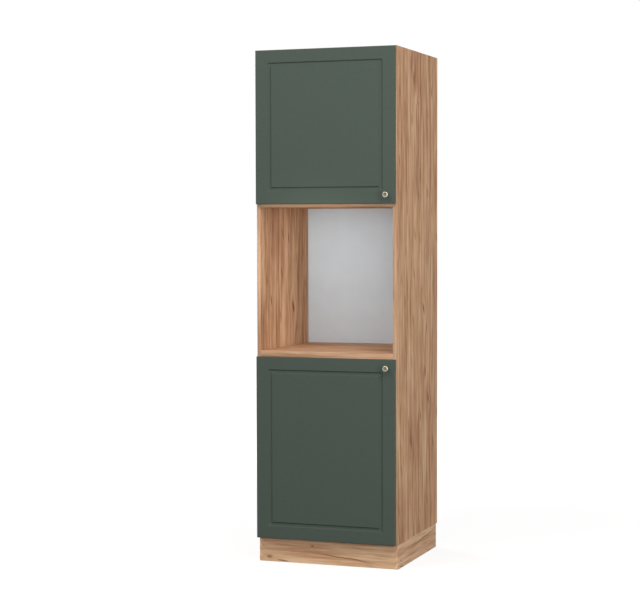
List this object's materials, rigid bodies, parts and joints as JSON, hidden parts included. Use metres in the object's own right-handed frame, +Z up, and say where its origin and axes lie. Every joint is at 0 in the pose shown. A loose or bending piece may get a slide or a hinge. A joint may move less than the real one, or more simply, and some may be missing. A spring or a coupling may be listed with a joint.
{
  "type": "tall oven housing cabinet",
  "caption": "Tall oak-decor kitchen cabinet on a plinth: an open niche for a built-in oven between a lower and an upper green framed door, each left-hung with a small round knob.",
  "frame": {"origin": "on the floor, under the centre of the outline, knobs included", "axes": "+Z up, -Y out of the doors, +X to the right as seen from the front"},
  "size_m": [0.6, 0.6226, 2.1],
  "materials": {
    "oak_decor_board": "oak-decor laminated board, matt, with long grain streaks and small knots",
    "oak_decor_edging": "oak-decor edge band, matt, paler than the faces",
    "green_door": "milled fibreboard with a matt grey-green coating",
    "champagne_knob": "turned metal, pale champagne, polished",
    "white_back_sheet": "thin hardboard, matt, white coated in front and raw brown behind",
    "white_plastic": "moulded plastic, white, satin",
    "nickel_steel": "pressed steel, nickel plated",
    "zinc_fitting": "zinc plated fitting",
    "beech_dowel": "plain turned beech",
    "clear_bumper": "soft clear dot"
  },
  "bodies": {
    "carcass": {"left_side_panel": "oak_decor_board", "right_side_panel": "oak_decor_board", "top_panel": "oak_decor_board", "niche_top_panel": "oak_decor_board", "oven_shelf": "oak_decor_board", "bottom_panel": "oak_decor_board", "wall_rail": "oak_decor_board", "lower_shelf": "oak_decor_board", "upper_shelf": "oak_decor_board", "plinth_front": "oak_decor_board", "plinth_back": "oak_decor_board", "plinth_left": "oak_decor_board", "plinth_right": "oak_decor_board", "front_edge_bands": "oak_decor_edging", "lower_back_panel": "white_back_sheet", "upper_back_panel": "white_back_sheet", "back_joint_strip": "white_plastic", "lower_shelf_pins": "nickel_steel", "upper_shelf_pins": "nickel_steel", "cam_locks": "zinc_fitting", "cam_bolts": "zinc_fitting", "wood_dowels": "beech_dowel", "plinth_screws": "zinc_fitting", "plinth_block_front_left": "white_plastic", "plinth_block_front_right": "white_plastic", "plinth_block_back_left": "white_plastic", "plinth_block_back_right": "white_plastic", "lower_hinge_plate_screws": "zinc_fitting", "lower_hinge_arm_screws": "zinc_fitting", "lower_bottom_hinge_arm": "nickel_steel", "lower_bottom_hinge_plate": "nickel_steel", "lower_top_hinge_arm": "nickel_steel", "lower_top_hinge_plate": "nickel_steel", "upper_hinge_plate_screws": "zinc_fitting", "upper_hinge_arm_screws": "zinc_fitting", "upper_bottom_hinge_arm": "nickel_steel", "upper_bottom_hinge_plate": "nickel_steel", "upper_top_hinge_arm": "nickel_steel", "upper_top_hinge_plate": "nickel_steel"},
    "lower_door": {"lower_door_panel": "green_door", "lower_knob": "champagne_knob", "lower_knob_screw": "zinc_fitting", "lower_door_bumpers": "clear_bumper", "lower_hinge_cup_screws": "zinc_fitting", "lower_bottom_hinge_cup": "nickel_steel", "lower_bottom_hinge_pin": "nickel_steel", "lower_top_hinge_cup": "nickel_steel", "lower_top_hinge_pin": "nickel_steel"},
    "upper_door": {"upper_door_panel": "green_door", "upper_knob": "champagne_knob", "upper_knob_screw": "zinc_fitting", "upper_door_bumpers": "clear_bumper", "upper_hinge_cup_screws": "zinc_fitting", "upper_bottom_hinge_cup": "nickel_steel", "upper_bottom_hinge_pin": "nickel_steel", "upper_top_hinge_cup": "nickel_steel", "upper_top_hinge_pin": "nickel_steel"}
  },
  "joints": [
    {"name": "lower_door_swing", "type": "hinge", "parent": "carcass", "child": "lower_door", "pos_m": [-0.29, -0.28075, 0.476], "axis": [0, 0, -1], "range_deg": [0, 95]},
    {"name": "upper_door_swing", "type": "hinge", "parent": "carcass", "child": "upper_door", "pos_m": [-0.29, -0.28075, 1.7855], "axis": [0, 0, -1], "range_deg": [0, 95]}
  ]
}
